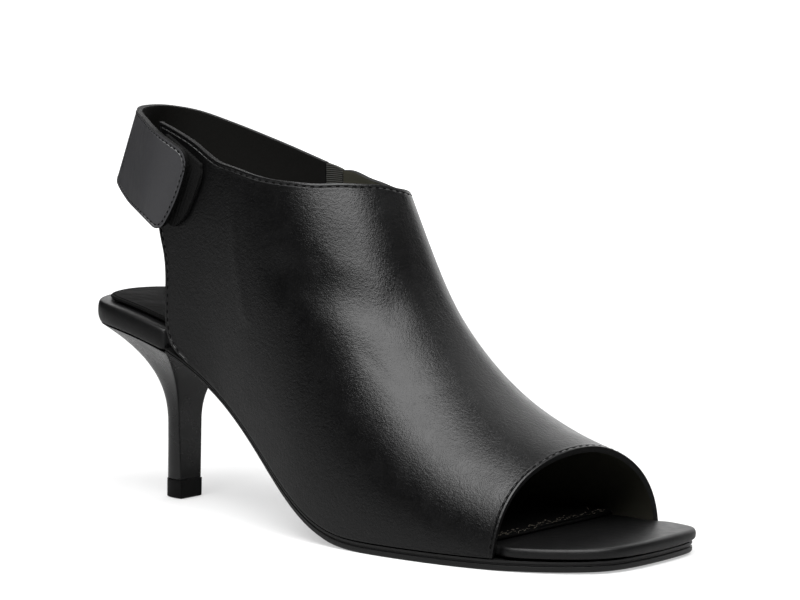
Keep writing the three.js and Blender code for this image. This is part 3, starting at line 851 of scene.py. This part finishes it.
def edged_piece(node_name, piece_name, slot, make, sharp, radius):
    """A moulded or wrapped piece over its CAD node: smooth faces, and its sharp edges made round."""
    obj = copy_of(node_name, piece_name)
    obj.data.materials.append(make())
    crease_sharp(obj, sharp, 1.0)
    apply_modifier(obj, "SUBSURF", levels=2, render_levels=2)
    apply_modifier(obj, "BEVEL", limit_method="ANGLE", angle_limit=sharp, width=radius, segments=3)
    finish_piece(obj, slot, (node_name,))
    return obj


def spine(point):
    """A place inside the upper, level with its middle, that its seams are moved towards."""
    return Vector((point.x / 2 + 12 * MM, 0, 50 * MM))


class SANDAL_OT_upper(bpy.types.Operator):
    """Makes the lasted upper with folded edges, stitches and lining"""

    bl_idname = "sandal.upper"
    bl_label = "Upper"

    def execute(self, context):
        obj, loop = dressed_wall("upper", "lasted_upper", upper_leather, lining_with_painted_fill)
        marks = {name: Vector(place) * MM for name, place in LANDMARKS.items()}
        marks["outer toe"].z = marks["inner toe"].z = min(point.z for point in loop)
        marks["wing top"] = max(loop, key=lambda point: point.z)
        paths = {name: along_loop(loop, *[marks[mark] for mark in ends]) for name, ends in SEAMS.items()}
        pressed(obj)
        mark_seam(obj, paths.values(), 0)
        finish_piece(obj, "upper_leather", ("upper",))
        tree = surface_of(obj, 0)
        for name, path in paths.items():
            seam = moved_in(resampled(path, 1 * MM), tree, spine, sizes().seam_margin - EDGE_RADIUS)
            stitch_row(name + "_stitches", seam[2:-2], tree, sizes().stitch_pitch, "upper_leather")
        return {"FINISHED"}


class SANDAL_OT_strap(bpy.types.Operator):
    """Makes the slingback strap with its tab"""

    bl_idname = "sandal.strap"
    bl_label = "Strap"

    def execute(self, context):
        obj, loop = dressed_wall("strap", "slingback_strap", strap_leather, strap_lining)
        mark_seam(obj, (loop + [loop[0]],), 0)
        finish_piece(obj, "strap_leather", ("strap",))
        tree = surface_of(obj, 0)
        middle = sum(loop, Vector()).z / len(loop)

        def centre(point):
            return Vector((point.x, point.y, middle + (point.z - middle) / 4))

        seam = moved_in(resampled(loop + [loop[0]], 1 * MM), tree, centre, sizes().seam_margin - EDGE_RADIUS)
        stitch_row("strap_stitches", seam, tree, sizes().strap_pitch, "strap_leather")
        across = resampled([Vector(point) * MM for point in BACK_SEAM], 1 * MM)
        seam = [tree.find_nearest(point)[0] for point in across]
        stitch_row("back_stitches", seam, tree, BACK_PITCH, "strap_leather")
        return {"FINISHED"}


class SANDAL_OT_closure(bpy.types.Operator):
    """Makes the hook tape, the loop tape and the elastic"""

    bl_idname = "sandal.closure"
    bl_label = "Closure"

    def execute(self, context):
        for source, name, slot, make in (
            ("hook_patch", "hook_tape", "hook_tape", nylon_tape),
            ("loop_patch", "loop_tape", "loop_tape", nylon_tape),
            ("elastic_gore", "elastic_web", "elastic", elastic_webbing),
        ):
            edged_piece(source, name, slot, make, WALL_ANGLE, 0.25 * MM)
        return {"FINISHED"}


def bordered(node_name, piece_name, makes):
    """A soft layer over its CAD node, with slot 0 on its top face, slot 1 elsewhere, and the top's border."""
    obj = copy_of(node_name, piece_name)
    faces = obj.data.polygons
    regions = face_regions(obj.data, LAYER_ANGLE)
    top = max(regions, key=lambda region: sum(faces[i].normal.z * faces[i].area for i in region))
    for make in makes:
        obj.data.materials.append(make())
    for face in faces:
        face.material_index = 0 if face.index in top else 1
    crease_sharp(obj, LAYER_ANGLE, LAYER_CREASE)
    apply_modifier(obj, "SUBSURF", levels=2, render_levels=2)
    return obj, border_loop(obj.data, [p.index for p in obj.data.polygons if p.material_index == 0])


def seat_part(loop):
    """The chains of a loop's points that lie round the heel seat."""
    chains, chain = [], []
    for point in loop + loop[:1]:
        if point.x < SEAT_END:
            chain.append(point)
        else:
            chains.append(chain)
            chain = []
    return chains + [chain]


def torn_edge(sock, low, high):
    """Loose fibres along the sock's front edge, where its lining was cut and has frayed."""
    chance = random.Random(FRAY_SEED)
    tree = surface_of(sock)
    bpy.ops.object.select_all(action="DESELECT")
    bpy.ops.mesh.primitive_uv_sphere_add(segments=6, ring_count=4, radius=0.5)
    first = bpy.context.active_object
    copies = []
    for i in range(FRAY_COUNT):
        across = low.y + (high.y - low.y) * (FRAY_START + FRAY_SPAN * i / FRAY_COUNT)
        spot, _, _, _ = tree.find_nearest(Vector((high.x + 2 * MM, across, low.z + 4 * MM)))
        lift = abs(chance.gauss(*FRAY_LIFT)) * MM
        long = chance.uniform(*FRAY_LENGTH) * MM
        thin = chance.uniform(*FRAY_THICKNESS) * MM
        turn = Matrix.Rotation(math.pi / 2 + chance.gauss(0, FRAY_TURN), 4, "Z")
        tip = Matrix.Rotation(chance.gauss(0, FRAY_TIP), 4, "Y")
        place = Matrix.Translation(spot + Vector((0, 0, lift)))
        copy = first.copy()
        copy.data = first.data.copy()
        copy.data.transform(place @ turn @ tip @ Matrix.Diagonal((long, thin, thin, 1)))
        bpy.context.collection.objects.link(copy)
        copies.append(copy)
    bpy.data.objects.remove(first)
    finish_piece(joined(copies, "torn_edge", torn_fibre()), "sock_leather")


class SANDAL_OT_footbed(bpy.types.Operator):
    """Makes the wrapped footbed and the padded sock"""

    bl_idname = "sandal.footbed"
    bl_label = "Footbed and sock"

    def execute(self, context):
        bed, rim = bordered("footbed", "wrapped_footbed", (bed_leather, bed_wall_leather))
        mark_seam(bed, [chain for chain in seat_part(rim) if len(chain) > 3], 1)
        finish_piece(bed, "footbed_leather", ("footbed",))
        sock, rim = bordered("sock", "padded_sock", (sock_leather, bed_leather))
        mark_seam(sock, (rim + [rim[0]],), 0)
        finish_piece(sock, "sock_leather", ("sock",))
        torn_edge(sock, *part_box("sock"))
        return {"FINISHED"}


class SANDAL_OT_sole(bpy.types.Operator):
    """Makes the outsole, the wrapped heel and its tip"""

    bl_idname = "sandal.sole"
    bl_label = "Sole and heel"

    def execute(self, context):
        edged_piece("outsole", "outsole_unit", "outsole", sole_rubber, SOLE_ANGLE, 0.3 * MM)
        edged_piece("top_lift", "heel_tip", "top_lift", tip_rubber, SOLE_ANGLE, 0.25 * MM)
        heel = edged_piece("heel", "wrapped_heel", "heel_wrap", heel_leather, SOLE_ANGLE, 0.35 * MM)
        lift_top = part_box("top_lift")[1].z
        foot = min(v.co.z for v in heel.data.vertices)
        for vertex in heel.data.vertices:
            share = (vertex.co.z - foot) / HEEL_FOOT
            if share < 1:
                vertex.co.z -= (foot - lift_top) * (1 - share)
        return {"FINISHED"}


def paper_material():
    """White paper, lit so that it stays white far from the shoe and keeps its shadow close by."""
    material, tree, bsdf = new_material(
        "Seamless paper", linear("#a0a0a0"), {"Roughness": 0.9, "Emission Color": linear("#ffffff")}
    )
    place = node(tree, "TexCoord", (-900, 0)).outputs["Object"]
    away = node(tree, "VectorMath", (-700, 0), [(0, place)], operation="LENGTH")
    glow = node(
        tree, "MapRange", (-500, 0), [("Value", away.outputs["Value"])],
        {"From Min": GLOW_START, "From Max": GLOW_END, "To Min": FLOOR_GLOW, "To Max": FAR_GLOW},
    )
    ray = node(tree, "LightPath", (-500, -300)).outputs["Is Camera Ray"]
    seen = node(tree, "Math", (-250, 0), [(0, glow.outputs["Result"]), (1, ray)], operation="MULTIPLY")
    tree.links.new(seen.outputs["Value"], bsdf.inputs["Emission Strength"])
    return material


def view_direction(azimuth, elevation):
    """The direction from the shoe towards a viewer."""
    flat = math.cos(elevation)
    return Vector((math.sin(azimuth) * flat, -math.cos(azimuth) * flat, math.sin(elevation)))


class SANDAL_OT_stage(bpy.types.Operator):
    """Sets the floor, the lights and the camera"""

    bl_idname = "sandal.stage"
    bl_label = "Stage"

    def execute(self, context):
        scene = context.scene
        bpy.ops.object.select_all(action="DESELECT")
        bpy.ops.mesh.primitive_plane_add(size=FLOOR_SIZE)
        floor = context.active_object
        floor.name = "floor"
        floor.data.materials.append(paper_material())
        bpy.ops.mesh.primitive_plane_add(size=WALL_SIZE)
        wall = context.active_object
        wall.name = "backdrop"
        wall.rotation_euler = (math.pi / 2, 0, WALL_AZIMUTH)
        wall.location = -view_direction(WALL_AZIMUTH, 0) * WALL_DISTANCE + Vector((0, 0, WALL_HEIGHT))
        wall.data.materials.append(plain_material("Lit backdrop", linear("#ffffff"), {
            "Roughness": 0.9, "Emission Color": linear("#ffffff"), "Emission Strength": WALL_GLOW,
        }))
        world = scene.world or bpy.data.worlds.new("World")
        scene.world = world
        world.use_nodes = True
        ray = node(world.node_tree, "LightPath", (-600, 0)).outputs["Is Camera Ray"]
        glow = node(world.node_tree, "MapRange", (-300, 0), [("Value", ray)], {"To Min": ROOM_GLOW})
        background = world.node_tree.nodes["Background"]
        world.node_tree.links.new(glow.outputs["Result"], background.inputs["Strength"])
        background.inputs["Color"].default_value = linear("#ffffff")
        for name, azimuth, elevation, distance, size, radiance in LIGHTS:
            bpy.ops.object.light_add(type="AREA")
            lamp = context.active_object
            lamp.name = name
            lamp.data.shape = "RECTANGLE"
            lamp.data.size, lamp.data.size_y = size
            lamp.data.energy = math.pi * size[0] * size[1] * radiance
            back = view_direction(math.radians(azimuth), math.radians(elevation))
            lamp.location = LIGHTS_AIM + back * distance
            lamp.rotation_euler = back.to_track_quat("Z", "Y").to_euler()
        back = view_direction(CAMERA_AZIMUTH, CAMERA_ELEVATION)
        right = Vector((math.cos(CAMERA_AZIMUTH), math.sin(CAMERA_AZIMUTH), 0))
        up = back.cross(right)
        aim = CAMERA_AIM + right * CAMERA_PAN.x + up * CAMERA_PAN.y
        bpy.ops.object.camera_add(location=aim + back * CAMERA_DISTANCE)
        camera = context.active_object
        camera.rotation_euler = back.to_track_quat("Z", "Y").to_euler()
        camera.data.lens = CAMERA_LENS
        camera.data.sensor_width = SENSOR_WIDTH
        camera.data.clip_start = 0.01
        scene.camera = camera
        scene.view_settings.view_transform = "Standard"
        return {"FINISHED"}


class SANDAL_PT_panel(bpy.types.Panel):
    """Lists the sandal's pieces and sizes"""

    bl_idname = "SANDAL_PT_panel"
    bl_label = "Sandal"
    bl_space_type = "VIEW_3D"
    bl_region_type = "UI"
    bl_category = "Sandal"

    def draw(self, context):
        for operator in OPERATORS:
            self.layout.operator(operator.bl_idname)
        for name in SandalSizes.__annotations__:
            self.layout.prop(context.scene.sandal_sizes, name)
        for name in SandalColours.__annotations__:
            self.layout.prop(context.scene.sandal_colours, name)


OPERATORS = (
    SANDAL_OT_stage,
    SANDAL_OT_upper,
    SANDAL_OT_strap,
    SANDAL_OT_closure,
    SANDAL_OT_footbed,
    SANDAL_OT_sole,
)
CLASSES = (SandalSizes, SandalColours, *OPERATORS, SANDAL_PT_panel)


def register():
    for cls in CLASSES:
        bpy.utils.register_class(cls)
    bpy.types.Scene.sandal_sizes = bpy.props.PointerProperty(type=SandalSizes)
    bpy.types.Scene.sandal_colours = bpy.props.PointerProperty(type=SandalColours)


def unregister():
    del bpy.types.Scene.sandal_colours
    del bpy.types.Scene.sandal_sizes
    for cls in reversed(CLASSES):
        bpy.utils.unregister_class(cls)


def main():
    register()
    bpy.ops.sandal.stage()
    bpy.ops.sandal.upper()
    bpy.ops.sandal.strap()
    bpy.ops.sandal.closure()
    bpy.ops.sandal.footbed()
    bpy.ops.sandal.sole()


if __name__ == "__main__":
    main()
